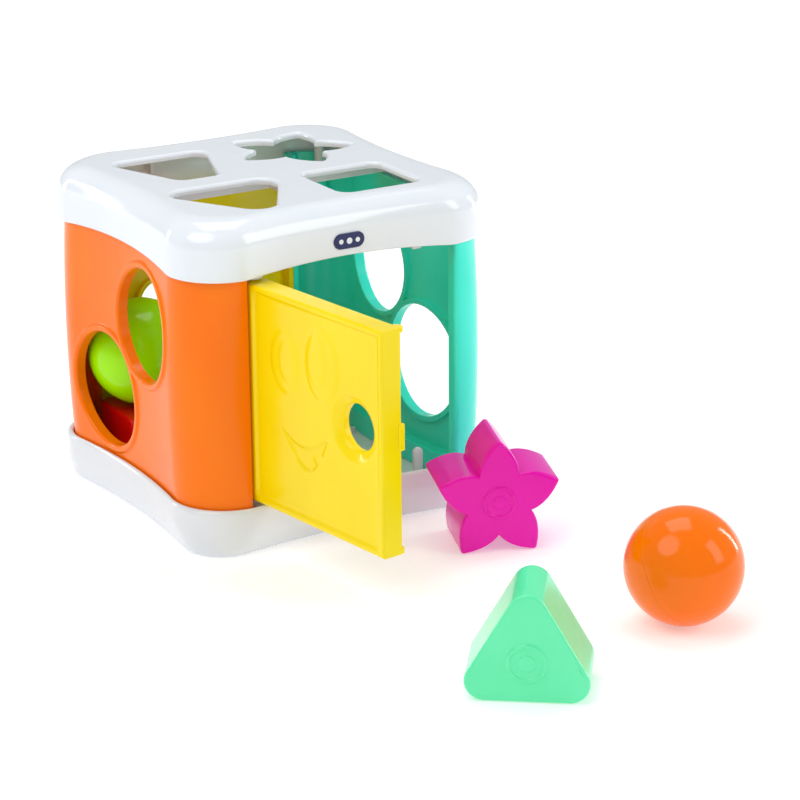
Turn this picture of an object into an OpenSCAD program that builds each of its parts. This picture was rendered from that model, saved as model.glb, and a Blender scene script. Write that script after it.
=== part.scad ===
// Shape-sorter cube with a swinging door, four shape blocks and two balls.
// Origin: centre of the base underside, on the ground. +Z up, +Y to the back,
// +X to the right when facing the door. All lengths in millimetres.

/* [Cube] */
// Width of the lid across opposite sides, measured at the corners
lid_w = 150; // [140:1:160]
// Width of the two side walls across opposite sides, measured at the corners
wall_w = 146; // [138:1:154]
// Overall height of the cube
cube_h = 147; // [142:1:152]
// Height of the lower edge of the lid skirt at the corners
skirt_z = 122; // [120:0.5:124]
// Height of the rim of the base tray
rim_z = 21.6; // [19:0.2:23]
// Depth by which each side dips in at the middle
side_dip = 3.8; // [1:0.2:5]
// Corner radius of the side walls in plan
corner_r = 23.9; // [18:0.1:28]
// Wall thickness of the moulded shells
shell_t = 2.4; // [1.6:0.1:3]
// Thickness of the base floor
floor_t = 3; // [2:0.1:4]

/* [Lid openings] */
// Gap between each block and its opening, all round
opening_gap = 0.8; // [0.5:0.1:1.5]

/* [Wall ports] */
// Diameter of the round ports in the side walls
port_d = 52; // [50:0.5:54]
// Diameter of the upper round ports
port_hi_d = 50; // [48:0.5:52]
// Depth of the collar round each port, from the outer face
port_depth = 4.5; // [3:0.5:6]

/* [Door] */
// Angle by which the door stands open
door_open = 82; // [0:1:88]
// Length of the door from its hinge axis to the free edge
door_len = 92.2; // [85:0.1:92.4]
// Thickness of the door over its flanges
door_t = 10; // [8:0.5:10]
// Height of the lower edge of the door
door_z0 = 23.4; // [23.2:0.1:26]
// Height of the upper edge of the door
door_z1 = 119.7; // [116:0.1:120]
// Diameter of the finger hole in the door
finger_d = 20; // [16:0.5:22]

/* [Blocks and balls] */
// Thickness of the shape blocks
block_t = 30.8; // [28:0.2:34]
// Tip radius of the star block
star_r = 27.3; // [24:0.1:29]
// Width of the triangle block
tri_w = 48; // [42:0.5:50]
// Width of the square block
sq_w = 38; // [34:0.5:40]
// Diameter of the balls
ball_d = 48.6; // [44:0.2:49]

/* [Hidden] */
$fn = 96;
e = 0.01;
la = lid_w / 2;
wa = wall_w / 2;
bt = shell_t;
hinge = [-43.3, -66];      // door axis in plan
pin_r = 2.45;
pin_bore_r = 2.5;
hinge_r = door_t / 2;
col = wa - 10.6;            // screw post centre on each corner diagonal
port_lo = [20, 52];        // lower port: y, z
port_hi = [-18.2, 91.1];   // upper port: y, z
finger_at = [72.4, 73.8];  // finger hole in the door: along, up
edge_a = 48.7;             // opening edge by the hinge
edge_b = 52.4;             // opening edge by the door's free side

// ---- plan outline: a square with dipped sides and round corners ----
function slope(a, s, r) = atan(2 * s / (a - r));
function outline(a, s, r, nc = 8, ns = 6) =
    let (c = a - r, k = slope(a, s, r),
         ex = c - r * sin(k), ey = c + r * cos(k), g = tan(k) * ex / 2)
    [for (q = [0:3]) for (i = [0:ns + nc])
        let (p = i < ns
                ? let (y = -ex + 2 * ex * i / ns) [ey - g * (1 - pow(y / ex, 2)), y]
                : let (t = -k + (90 + 2 * k) * (i - ns) / (nc + 1))
                  [c + r * cos(t), c + r * sin(t)])
        [p.x * cos(90 * q) - p.y * sin(90 * q), p.x * sin(90 * q) + p.y * cos(90 * q)]];
// the wall outline moved inwards by d
function wplan(d) = outline(wa - d, side_dip, corner_r - d);

module prism(pts, z0, z1) translate([0, 0, z0]) linear_extrude(z1 - z0) polygon(pts);

// closed skin over a list of rings [[points], [heights]] with equal counts
module loft(rings) {
    n = len(rings[0][0]);
    m = len(rings);
    polyhedron(
        points = [for (r = rings) for (i = [0:n - 1]) [r[0][i].x, r[0][i].y, r[1][i]]],
        faces = concat(
            [[for (i = [0:n - 1]) i]],
            [for (j = [0:m - 2]) for (i = [0:n - 1])
                let (a = j * n + i, b = j * n + (i + 1) % n) [b, a, a + n]],
            [for (j = [0:m - 2]) for (i = [0:n - 1])
                let (a = j * n + i, b = j * n + (i + 1) % n) [b, a + n, b + n]],
            [[for (i = [n - 1:-1:0]) (m - 1) * n + i]]));
}
function flat(pts, z) = [pts, [for (p = pts) z]];

// ---- shape outlines ----
// star whose arms are lens shapes with small round tips, one tip towards -Y
function star_pts(ro, ri, r = 1.5, n = 6) =
    let (d = ri * cos(36), w = ri * sin(36), g = atan(2 * w / (ro - d)),
         tc = ro - r / sin(g), te = 1 - (r / sin(g) - r * sin(g)) / (ro - d))
    [for (k = [0:4]) each let (a = -90 + 72 * k)
        [for (p = concat(
            [for (i = [0:n]) let (t = te * i / n) [d + (ro - d) * t, -w * (1 - t * t)]],
            [for (i = [1:3]) let (f = -(90 - g) + (90 - g) * i / 2) [tc + r * cos(f), r * sin(f)]],
            [for (i = [n:-1:1]) let (t = te * i / n) [d + (ro - d) * t, w * (1 - t * t)]]))
            [p.x * cos(a) - p.y * sin(a), p.x * sin(a) + p.y * cos(a)]]];
// convex outline of round corners: centres listed anticlockwise
function rounded(cs, r, n = 5) = [for (i = [0:len(cs) - 1])
    let (p = cs[(i + len(cs) - 1) % len(cs)], c = cs[i], q = cs[(i + 1) % len(cs)],
         a0 = atan2(c.y - p.y, c.x - p.x) - 90, a1r = atan2(q.y - c.y, q.x - c.x) - 90,
         a1 = a1r < a0 ? a1r + 360 : a1r)
    for (j = [0:n]) let (t = a0 + (a1 - a0) * j / n) [c.x + r * cos(t), c.y + r * sin(t)]];
// triangle with one tip towards -Y, width w over its round corners
function tri_pts(w, d = 0) = let (s = 0.681 * w, R = s / sqrt(3), r = (w - s) / 2)
    rounded([for (k = [0:2]) [R * cos(-90 + 120 * k), R * sin(-90 + 120 * k)]], r + d);
function sq_pts(w, d = 0) = let (c = w / 2 - 5)
    rounded([[-c, -c], [c, -c], [c, c], [-c, c]], 5 + d);
function trap_pts(d = 0) =
    rounded([[-5.2, -16], [5.2, -16], [16.6, 16], [-16.6, 16]], 5 + d);
function tstar(d) = star_pts(star_r + 0.5 + d * 1.35, 15 + d, 1.5 + max(-1, d) * 0.5);

star_at = [27.6, 27.1];
tri_at = [-31.6, -30.8];
sq_at = [27.4, -35.3];
trap_at = [-31.4, 23.6];

// ---- base tray ----
module base() {
    color("white") {
        difference() {
            loft([flat(outline(70.6, 3.5, 17), 0), flat(outline(72.2, 3.6, 18.4), 1.4),
                  flat(outline(74.2, 3.7, 21), 7), flat(outline(75.6, side_dip, 24.6), 14),
                  flat(outline(75.7, side_dip, 24.8), rim_z - 2.2),
                  flat(outline(74.9, side_dip, 24.6), rim_z - 0.4),
                  flat(outline(74.4, side_dip, 24.4), rim_z)]);
            intersection() {
                loft([flat(outline(68.3, 3.6, 17.2), 0),
                      flat(outline(wa + 0.35, side_dip, corner_r + 0.3), 11.4),
                      flat(outline(wa + 0.35, side_dip, corner_r + 0.3), rim_z + 1)]);
                translate([-100, -100, floor_t]) cube([200, 200, 60]);
            }
            for (x = [-1, 1], y = [-1, 1]) translate([x * col, y * col, -1])
                cylinder(r = 3.4, h = 6);
        }
        // screw bosses in the corners
        for (x = [-1, 1], y = [-1, 1]) translate([x * col, y * col, 0]) difference() {
            translate([0, 0, floor_t - 0.2]) cylinder(r = 5.2, h = 8.2 - floor_t);
            cylinder(r = 3.4, h = 5);
            cylinder(r = 1.7, h = 20);
        }
        // lower hinge lug, with the blind bore for the door pin
        difference() {
            union() {
                translate([hinge.x, hinge.y, floor_t - e]) cylinder(r = 4.6, h = 22.8 - floor_t);
                translate([hinge.x - 1.2, hinge.y - 5.2, floor_t - e])
                    cube([2.4, 5.2, rim_z - 3 - floor_t]);
            }
            translate([hinge.x, hinge.y, 12.8]) cylinder(r = pin_bore_r, h = 20);
        }
        // upright stop tab behind the closed door, with a round top
        translate([38.7, -60.4, floor_t - e]) cube([4.6, 1.9, 21.5]);
        translate([41, -58.5, floor_t + 21.5]) rotate([90, 0, 0]) cylinder(r = 2.3, h = 1.9);
        translate([40.1, -58.6, floor_t - e]) cube([1.8, 5, 9]);
        // low locating ribs for the wall lips
        for (s = [-1, 1]) for (y = [-30, 0, 30])
            translate([s * 59.7 - 0.8, y - 1, floor_t - e]) cube([1.6, 2, 3]);
    }
}

// ---- lid ----
module lid_outer() {
    R = 12;
    o = outline(la, side_dip, corner_r);
    arch = [for (p = o) let (m = min(abs(p.x), abs(p.y)))
        skirt_z + 2.3 * max(0, 1 - pow(m / 50, 2))];
    function up(dz) = [for (z = arch) z + dz];
    loft(concat(
        [[outline(la - 0.7, side_dip, corner_r - 0.4), arch], [o, up(1.0)]],
        [flat(o, cube_h - R)],
        [for (t = [18:18:90]) flat(outline(la - R * (1 - cos(t)), side_dip * (1 - t / 400),
            corner_r - 0.35 * R * (1 - cos(t))), cube_h - R * (1 - sin(t)))]));
}
module lid_inner() {
    q = wa + 0.4;
    intersection() {
        loft([flat(outline(q, side_dip, corner_r + 0.3), skirt_z - 5),
              flat(outline(q, side_dip, corner_r + 0.3), 133.4),
              flat(outline(70.8, side_dip, corner_r - 2), 139.5),
              flat(outline(66.5, 3.4, corner_r - 3), 143),
              flat(outline(58, 3.2, corner_r - 5), cube_h - 1)]);
        translate([-100, -100, 100]) cube([200, 200, cube_h - 102.8]);
    }
}
module lid_cuts() {
    translate([star_at.x, star_at.y, 0]) prism(tstar(opening_gap), 100, 160);
    translate([tri_at.x, tri_at.y, 0]) prism(tri_pts(tri_w, opening_gap), 100, 160);
    translate([sq_at.x, sq_at.y, 0]) prism(sq_pts(sq_w, opening_gap), 100, 160);
    translate([trap_at.x, trap_at.y, 0]) prism(trap_pts(opening_gap), 100, 160);
}
module lid() {
    zi = cube_h - 2.9;
    color("white") {
        difference() {
            lid_outer();
            lid_inner();
            lid_cuts();
        }
        // stiffening cross under the top, between the openings
        translate([-1, -64, zi - 5]) cube([2, 128, 5.2]);
        translate([-62, -5.2, zi - 5]) cube([61.1, 1.8, 5.2]);
        translate([0.9, -7.6, zi - 5]) cube([61.1, 1.8, 5.2]);
        // pegs that plug into the wall columns
        for (x = [-1, 1], y = [-1, 1]) translate([x * col, y * col, 0]) {
            translate([0, 0, 126.4]) cylinder(r = 2.5, h = 15.5);
            translate([0, 0, 118]) cylinder(r = 1.7, h = 10);
        }
        // upper hinge lug, with the blind bore for the door pin
        difference() {
            union() {
                translate([hinge.x, hinge.y, 120.4]) cylinder(r = 4.6, h = 20);
                translate([hinge.x - 1.2, hinge.y - 7.9, 125]) cube([2.4, 7.9, 11]);
                translate([hinge.x - 1.2, hinge.y + 3, 130]) cube([2.4, 6, zi - 129.8]);
            }
            translate([hinge.x, hinge.y, 119]) cylinder(r = pin_bore_r, h = 12);
        }
        // door stop under the top, over the one on the base
        translate([38.7, -60.4, 118.2]) cube([4.6, 1.9, zi - 118]);
        // ribs inside the skirt, left, right and back
        for (s = [-1, 1]) for (y = [-24, 24])
            translate([s > 0 ? 64 : -69.6, y - 0.9, 133.8]) cube([5.6, 1.8, 7]);
        for (x = [-24, 24]) translate([x - 0.9, 64, 133.8]) cube([1.8, 5.6, 7]);
    }
}

// ---- side wall: one moulding, used on the left and, turned round, on the right ----
module port_band(p, r0, r1, d0, d1) intersection() {
    difference() {
        prism(wplan(d0), 10, 130);
        prism(wplan(d1), 9, 131);
    }
    translate([-90, p.x, p.y]) rotate([0, 90, 0]) difference() {
        cylinder(r = r1, h = 60);
        translate([0, 0, -1]) cylinder(r = r0, h = 62);
    }
}
module side_wall() {
    pr = port_d / 2;
    ph = port_hi_d / 2;
    difference() {
        union() {
            // outer skin from the base rim to inside the lid
            difference() {
                prism(wplan(0), 12, 132);
                prism(wplan(bt), 11, 133);
                translate([-edge_a, -100, 0]) cube([200, 100, 200]);
                translate([-edge_b, 0, 0]) cube([200, 100, 200]);
            }
            // returns along the two upright edges
            translate([-edge_a - bt, -72.2, 12]) cube([bt, 7.4, 120]);
            translate([-edge_b - bt, 67.4, 12]) cube([bt, 4.8, 120]);
            // beads and collars round the ports
            port_band(port_lo, pr - 1, pr + 2.6, -1, port_depth);
            port_band(port_hi, ph - 1, ph + 2.6, -1, port_depth);
            // posts in the corners: short ones for the base screws, upper ones for the lid pegs
            for (y = [-1, 1]) translate([-col, y * col, 0]) {
                translate([0, 0, 8.3]) cylinder(r = 3.3, h = 22);
                translate([0, 0, 96]) cylinder(r = 3.3, h = 30);
            }
            // ledge and lip that stand on the base floor
            intersection() {
                union() {
                    difference() {
                        prism(wplan(bt - 0.4), 11, 13);
                        prism(wplan(8), 10, 14);
                    }
                    difference() {
                        prism(wplan(6), floor_t + 0.3, 13);
                        prism(wplan(8), 2, 14);
                    }
                }
                translate([-80, -44, 0]) cube([40, 88, 40]);
            }
        }
        for (p = [[port_lo, pr], [port_hi, ph]]) translate([-90, p[0].x, p[0].y])
            rotate([0, 90, 0]) cylinder(r = p[1], h = 60);
        for (y = [-1, 1]) translate([-col, y * col, 0]) {
            translate([0, 0, 7]) cylinder(r = 1.6, h = 18);
            translate([0, 0, 117]) cylinder(r = 1.8, h = 12);
        }
    }
}
module left_wall() color([1, 0.5, 0.14]) side_wall();
module right_wall() color([0.25, 0.88, 0.78]) rotate([0, 0, 180]) side_wall();

// ---- fixed panel at the back ----
module back_panel() {
    hx = -21.5;
    hz = 72.5;
    color([0.96, 0.85, 0.15]) difference() {
        union() {
            intersection() {
                difference() {
                    prism(wplan(1.2), 12, 126.4);
                    prism(wplan(1.2 + bt), 11, 132);
                }
                translate([-edge_b + 0.1, 40, 0]) cube([edge_b + edge_a - 0.2, 60, 200]);
            }
            // side flanges against the wall returns
            translate([-edge_b + 0.1, 67.4, 12]) cube([bt, 3.4, 114.4]);
            translate([edge_a - 0.1 - bt, 64.8, 12]) cube([bt, 6, 114.4]);
            // foot that reaches down to the floor
            translate([-40, 64, floor_t + 0.3]) cube([80, 1.8, 11]);
            translate([-40, 64.6, 12]) cube([80, 5, 2]);
            // collar of the finger hole
            translate([hx, 69, hz]) rotate([90, 0, 0]) cylinder(r = 12.8, h = 4.6);
        }
        translate([hx, 80, hz]) rotate([90, 0, 0]) cylinder(r = finger_d / 2 + 0.7, h = 40);
    }
}

// ---- door, drawn closed about its axis and then swung open ----
function oval(cx, cz, rx, rz, n = 28) =
    [for (i = [0:n - 1]) [cx + rx * cos(360 * i / n), cz + rz * sin(360 * i / n)]];
module face_plate(pts, y0, y1) translate([0, y1, 0]) rotate([90, 0, 0])
    linear_extrude(y1 - y0) polygon(pts);
function smile(n = 12) = concat(
    [for (i = [0:n]) let (t = i / n)
        [22.2 + 33 * t, 62.8 + 1.7 * t - 7.2 * sin(180 * t) * (1 - 0.1 * t)]],
    [for (i = [1:n - 1]) let (t = 1 - i / n)
        [22.2 + 33 * t, 62.8 + 1.7 * t - 17 * pow(sin(180 * pow(t, 1.25)), 0.9)]]);
module door_closed() {
    h = door_z1 - door_z0;
    difference() {
        union() {
            // thin panel, set back a little from the rim
            translate([0, -hinge_r + 1, door_z0]) cube([door_len, 2.2, h]);
            // rim flanges: top, bottom and free edge
            translate([0, -hinge_r, door_z1 - 2.4]) cube([door_len, door_t, 2.4]);
            translate([0, -hinge_r, door_z0]) cube([door_len, door_t, 2.4]);
            translate([door_len - 2.4, -hinge_r, door_z0]) cube([2.4, door_t, h]);
            // noses that stand out at the free end of the top and bottom flanges
            for (z = [door_z0, door_z1 - 2.4]) translate([door_len - 5.2, -hinge_r, z])
                cube([5.2, door_t + 2.2, 2.4]);
            // hinge barrel and the step beside it
            translate([0, 0, door_z0]) cylinder(r = hinge_r, h = h);
            translate([0, -hinge_r, door_z0]) cube([6, door_t, h]);
            // hinge pins
            translate([0, 0, door_z0 - 9]) cylinder(r = pin_r, h = 9.1);
            translate([0, 0, door_z1 - 0.1]) cylinder(r = pin_r, h = 9.1);
            // collar of the finger hole, dished on the outside
            translate([finger_at.x, 1.6, finger_at.y]) rotate([90, 0, 0])
                cylinder(r = finger_d / 2 + 2.4, h = 6.2);
            // tab on the free edge
            translate([door_len - 2.4, 3.2, 68]) cube([3.1, 3, 11.4]);
            // face: two raised ovals
            face_plate(oval(27.6, 91.2, 9.4, 13.6), -hinge_r + 0.4, -hinge_r + 2);
            face_plate(oval(52.4, 95, 10.6, 15.8), -hinge_r + 0.4, -hinge_r + 2);
            // ribs inside the tray
            translate([30, -2, door_z0 + 1]) cube([1.6, 4, h - 2]);
            translate([2, -2, 56]) cube([door_len - 4, 4, 1.6]);
        }
        translate([finger_at.x, 20, finger_at.y]) rotate([90, 0, 0]) cylinder(r = finger_d / 2, h = 40);
        // face: a sunk smile with a tongue left standing in it
        difference() {
            face_plate(smile(), -hinge_r, -hinge_r + 1.7);
            face_plate(oval(48.4, 53.4, 4.4, 3.4), -hinge_r + 1.1, -hinge_r + 2);
        }
    }
}
module door() color([0.97, 0.87, 0.12])
    translate([hinge.x, hinge.y, 0]) rotate([0, 0, -door_open]) door_closed();

// ---- small parts of the cube ----
// sticker on the front of the lid skirt: a plain pill shape
module badge() color([0.1, 0.14, 0.4])
    translate([0.6, -(la - side_dip) - 0.22, 130.9]) rotate([90, 0, 0]) linear_extrude(0.5)
        polygon(concat([for (t = [-90:15:90]) [4 + 3.4 * cos(t), 3.4 * sin(t)]],
                       [for (t = [90:15:270]) [-4 + 3.4 * cos(t), 3.4 * sin(t)]]));
// self-tapping screws driven up through the base into the wall columns
module base_screws() color("silver")
    for (x = [-1, 1], y = [-1, 1]) translate([x * col, y * col, 0]) difference() {
        union() {
            translate([0, 0, 2.8]) cylinder(r = 2.9, h = 2.2);
            translate([0, 0, 4.9]) cylinder(r = 1.5, h = 15);
            translate([0, 0, 19.9]) cylinder(r1 = 1.5, r2 = 0.4, h = 2);
        }
        for (a = [0, 90]) rotate([0, 0, a]) translate([-1.8, -0.35, 2.5]) cube([3.6, 0.7, 1.3]);
    }

// ---- blocks: a moulded shell open at the back, and a cap pressed into it ----
module shell_of(o, i) difference() {
    prism(o, 0, block_t);
    prism(i, 2.2, block_t + 1);
}
// ring and button raised on the front face
module relief(r) difference() {
    cylinder(r = r, h = 1.6);
    translate([0, 0, -1]) difference() {
        cylinder(r = r - 1.1, h = 1.5);
        cylinder(r = r - 4, h = 3);
    }
}
// stands a block that was drawn lying face down: face to -Y, then turned
module upright(at, heading, z) translate([at.x, at.y, z])
    rotate([0, 0, heading]) rotate([90, 0, 0]) translate([0, 0, -block_t]) children();

star_in = -2.2;
star_pos = [40.4, -127];
star_turn = -20.6;
star_lift = star_r * cos(36) + 0.32;
tri_pos = [-33.6, -259.6];
tri_turn = -37.6;
tri_lift = 0.681 * tri_w / sqrt(3) / 2 + (tri_w - 0.681 * tri_w) / 2;

module face_up(n) mirror([0, 0, 1]) translate([0, 0, -block_t]) children();
module star_shape(kind) {
    if (kind == "shell") {
        difference() {
            union() {
                prism(rot180(tstar(0)), 0, block_t);
                translate([0, 0, block_t - e]) cylinder(r = 7.4, h = 0.7);
            }
            prism(rot180(tstar(-2.2)), -1, block_t - 2.4);
            translate([0, 0, block_t + 0.2]) difference() {
                cylinder(r = 6.2, h = 2);
                translate([0, 0, -1]) cylinder(r = 3.2, h = 4);
            }
        }
    } else prism(rot180(tstar(-2.3)), 0, 2.4);
}
function rot180(pts) = [for (p = pts) [-p.x, -p.y]];
module tri_shape(kind) {
    if (kind == "shell") {
        difference() {
            union() {
                prism(rot180(tri_pts(tri_w)), 0, block_t);
                translate([0, -1, block_t - e]) cylinder(r = 8, h = 0.7);
            }
            prism(rot180(tri_pts(tri_w, -2.2)), -1, block_t - 2.4);
            translate([0, -1, block_t + 0.2]) difference() {
                cylinder(r = 6.8, h = 2);
                translate([0, 0, -1]) cylinder(r = 3.4, h = 4);
            }
        }
    } else prism(rot180(tri_pts(tri_w, -2.3)), 0, 2.4);
}
// block lying on the cube floor, cap down
module lying(pts_out, pts_in, kind) {
    if (kind == "shell") difference() {
        union() {
            prism(pts_out, 0, block_t - 0.7);
            translate([0, 0, block_t - 0.8]) cylinder(r = 7.4, h = 0.8);
        }
        prism(pts_in, -1, block_t - 3.1);
        translate([0, 0, block_t - 0.5]) difference() {
            cylinder(r = 6.2, h = 2);
            translate([0, 0, -1]) cylinder(r = 3.2, h = 4);
        }
    } else prism(pts_in_gap(pts_in), 0, 2.4);
}
function pts_in_gap(pts) = [for (p = pts) p * (1 - 0.1 / norm(p))];

module star_block() color([0.91, 0.1, 0.66])
    upright(star_pos, star_turn, star_lift) star_shape("shell");
module star_cap() color([0.83, 0.08, 0.6])
    upright(star_pos, star_turn, star_lift) star_shape("cap");
module triangle_block() color([0.45, 0.98, 0.72])
    upright(tri_pos, tri_turn, tri_lift) tri_shape("shell");
module triangle_cap() color([0.4, 0.9, 0.66])
    upright(tri_pos, tri_turn, tri_lift) tri_shape("cap");

sq_pos = [-39.5, 40.5];
trap_pos = [-13.5, -37.5];
in_z = floor_t + 0.3;
module square_block() color([0.72, 0.06, 0.1])
    translate([sq_pos.x, sq_pos.y, in_z]) lying(sq_pts(sq_w), sq_pts(sq_w, -2.2), "shell");
module square_cap() color([0.64, 0.05, 0.09])
    translate([sq_pos.x, sq_pos.y, in_z]) lying(sq_pts(sq_w), sq_pts(sq_w, -2.2), "cap");
module trapezoid_block() color([0.2, 0.45, 0.9])
    translate([trap_pos.x, trap_pos.y, in_z]) lying(trap_pts(0), trap_pts(-2.2), "shell");
module trapezoid_cap() color([0.18, 0.4, 0.82])
    translate([trap_pos.x, trap_pos.y, in_z]) lying(trap_pts(0), trap_pts(-2.2), "cap");

// ---- hollow balls ----
module ball_at(p) translate(p) difference() {
    sphere(d = ball_d);
    sphere(d = ball_d - 4);
}
module orange_ball() color([1, 0.47, 0.08]) ball_at([61.8, -229, ball_d / 2]);
module green_ball() color([0.62, 0.93, 0.1]) ball_at([-43.4, 42.3, 58.8]);

base();
lid();
left_wall();
right_wall();
back_panel();
door();
badge();
base_screws();
star_block();
star_cap();
triangle_block();
triangle_cap();
square_block();
square_cap();
trapezoid_block();
trapezoid_cap();
orange_ball();
green_ball();
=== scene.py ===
import math

import bmesh
import bpy
import numpy as np
from mathutils import Matrix, Vector, geometry


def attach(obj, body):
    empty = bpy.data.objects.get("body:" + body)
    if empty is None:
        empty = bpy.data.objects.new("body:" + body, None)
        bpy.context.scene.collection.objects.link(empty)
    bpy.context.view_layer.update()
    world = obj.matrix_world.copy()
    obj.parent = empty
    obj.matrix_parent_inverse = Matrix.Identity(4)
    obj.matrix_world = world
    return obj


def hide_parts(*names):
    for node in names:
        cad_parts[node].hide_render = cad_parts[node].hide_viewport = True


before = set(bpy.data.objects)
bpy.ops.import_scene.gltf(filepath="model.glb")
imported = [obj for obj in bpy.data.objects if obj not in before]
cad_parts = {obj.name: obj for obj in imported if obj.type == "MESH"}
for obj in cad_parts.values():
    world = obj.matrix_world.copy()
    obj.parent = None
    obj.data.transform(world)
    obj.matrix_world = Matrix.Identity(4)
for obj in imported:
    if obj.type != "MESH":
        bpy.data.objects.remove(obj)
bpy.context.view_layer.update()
MM = 0.001
PI = math.pi
H = (-43.3, -66.0)      # door axis in plan, mm
OPEN = math.radians(82)


# ---------------------------------------------------------------- mesh tools
def rad(a):
    return math.radians(a)


def smooth(t):
    t = np.clip(t, 0.0, 1.0)
    return t * t * (3 - 2 * t)


class Shell:
    """Points and faces in mm, welded when the object is made."""

    def __init__(self):
        self.v = []
        self.f = []

    def add(self, pts):
        i = len(self.v)
        self.v.extend([(float(p[0]), float(p[1]), float(p[2])) for p in pts])
        return i

    def loft(self, rings, closed=True):
        """Quads between rings of equal count."""
        n = len(rings[0])
        at = [self.add(r) for r in rings]
        m = n if closed else n - 1
        for a, b in zip(at[:-1], at[1:]):
            for i in range(m):
                j = (i + 1) % n
                self.f.append((a + i, a + j, b + j, b + i))

    def fan(self, ring, centre=None, flip=False):
        n = len(ring)
        a = self.add(ring)
        c = self.add([centre if centre is not None else np.mean(np.array(ring), 0)])
        for i in range(n):
            j = (i + 1) % n
            self.f.append((a + j, a + i, c) if flip else (a + i, a + j, c))

    def tris(self, pts, tri, flip=False):
        a = self.add(pts)
        for t in tri:
            t = [a + int(k) for k in t]
            self.f.append(tuple(t[::-1]) if flip else tuple(t))

    def rod(self, c, z0, z1, r, b=0.4, n=48, axis="z", dome=0.0):
        """Closed round bar with soft ends about (c) along an axis."""
        prof = [(r - b, z0)] + [(r - b + b * math.sin(t), z0 + b - b * math.cos(t))
                                for t in (PI / 6, PI / 3, PI / 2)]
        prof += [(r - b + b * math.cos(t), z1 - b + b * math.sin(t))
                 for t in (0, PI / 6, PI / 3, PI / 2)]
        rings = []
        for (q, z) in prof:
            ring = []
            for i in range(n):
                t = 2 * PI * i / n
                x, y = q * math.cos(t), q * math.sin(t)
                ring.append(place(axis, c, x, y, z))
            rings.append(ring)
        self.loft(rings)
        self.fan(rings[0], place(axis, c, 0, 0, z0), flip=True)
        self.fan(rings[-1], place(axis, c, 0, 0, z1 + dome))

    def slab(self, lo, hi, b=0.35):
        """Closed box with small chamfered edges."""
        bm = bmesh.new()
        bmesh.ops.create_cube(bm, size=1.0)
        for v in bm.verts:
            v.co = [lo[k] + (v.co[k] + 0.5) * (hi[k] - lo[k]) for k in range(3)]
        bmesh.ops.bevel(bm, geom=list(bm.edges), offset=min(b, 0.45 * min(hi[k] - lo[k] for k in range(3))),
                        segments=3, profile=0.5, affect="EDGES")
        bm.verts.index_update()
        a = self.add([v.co for v in bm.verts])
        for f in bm.faces:
            self.f.append(tuple(a + v.index for v in f.verts))
        bm.free()

    def turned(self, angle, at):
        """Turn about Z by angle, then move in plan."""
        c, s = math.cos(angle), math.sin(angle)
        self.v = [(x * c - y * s + at[0], x * s + y * c + at[1], z) for x, y, z in self.v]

    def mapped(self, fn):
        self.v = [fn(p) for p in self.v]

    def build(self, name, body, node, mat, sharp=38, tol=4):
        seen, remap, pts = {}, [], []
        for p in self.v:
            k = (round(p[0], tol), round(p[1], tol), round(p[2], tol))
            if k not in seen:
                seen[k] = len(pts)
                pts.append((p[0] * MM, p[1] * MM, p[2] * MM))
            remap.append(seen[k])
        faces = []
        for f in self.f:
            g = []
            for i in f:
                j = remap[i]
                if not g or (g[-1] != j and j not in g):
                    g.append(j)
            if len(g) > 2:
                faces.append(g)
        me = bpy.data.meshes.new(name)
        me.from_pydata(pts, [], faces)
        me.validate()
        bm = bmesh.new()
        bm.from_mesh(me)
        bmesh.ops.remove_doubles(bm, verts=bm.verts, dist=2e-6)
        bmesh.ops.recalc_face_normals(bm, faces=bm.faces)
        bm.to_mesh(me)
        bm.free()
        for p in me.polygons:
            p.use_smooth = True
        me.set_sharp_from_angle(angle=rad(sharp))
        o = bpy.data.objects.new(name, me)
        bpy.context.scene.collection.objects.link(o)
        me.materials.append(mat)
        w = o.modifiers.new("even_shading", "WEIGHTED_NORMAL")
        w.keep_sharp = True
        w.weight = 60
        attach(o, body)
        if node:
            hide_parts(*([node] if isinstance(node, str) else node))
        return o


def place(axis, c, x, y, z):
    if axis == "z":
        return (c[0] + x, c[1] + y, z)
    if axis == "y":
        return (c[0] + x, z, c[1] + y)
    return (z, c[0] + x, c[1] + y)


def inside(px, py, loop):
    """Even-odd test of many points in one loop."""
    loop = np.asarray(loop, float)
    x0, y0 = loop[:, 0], loop[:, 1]
    x1, y1 = np.roll(x0, -1), np.roll(y0, -1)
    hit = np.zeros(len(px), bool)
    for a, b, c, d in zip(x0, y0, x1, y1):
        if b == d:
            continue
        m = ((b > py) != (d > py)) & (px < (c - a) * (py - b) / (d - b) + a)
        hit ^= m
    return hit


def patch(outer, holes, loops=(), extra=()):
    """Triangles that fill outer less holes; loops are kept as edges, extra as points."""
    pts, edges = [], []
    for lp in [outer, *holes, *loops]:
        a, n = len(pts), len(lp)
        pts += [Vector((float(p[0]), float(p[1]))) for p in lp]
        edges += [(a + i, a + (i + 1) % n) for i in range(n)]
    pts += [Vector((float(p[0]), float(p[1]))) for p in extra]
    got = geometry.delaunay_2d_cdt(pts, edges, [], 0, 1e-5)
    v = np.array([(p.x, p.y) for p in got[0]], float)
    t = np.array([f for f in got[2] if len(f) == 3], int)
    c = v[t].mean(1)
    keep = inside(c[:, 0], c[:, 1], outer)
    for h in holes:
        keep &= ~inside(c[:, 0], c[:, 1], h)
    t = t[keep]
    a, b, c = v[t[:, 0]], v[t[:, 1]], v[t[:, 2]]
    turn = (b[:, 0] - a[:, 0]) * (c[:, 1] - a[:, 1]) - (b[:, 1] - a[:, 1]) * (c[:, 0] - a[:, 0])
    t[turn < 0] = t[turn < 0][:, ::-1]
    return v, t


def rim_edges(tri):
    """Directed edges of a triangulation that only one triangle has."""
    e = {}
    for a, b, c in tri:
        for p, q in ((a, b), (b, c), (c, a)):
            e[(int(p), int(q))] = True
    return [(p, q) for (p, q) in e if (q, p) not in e]


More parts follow.
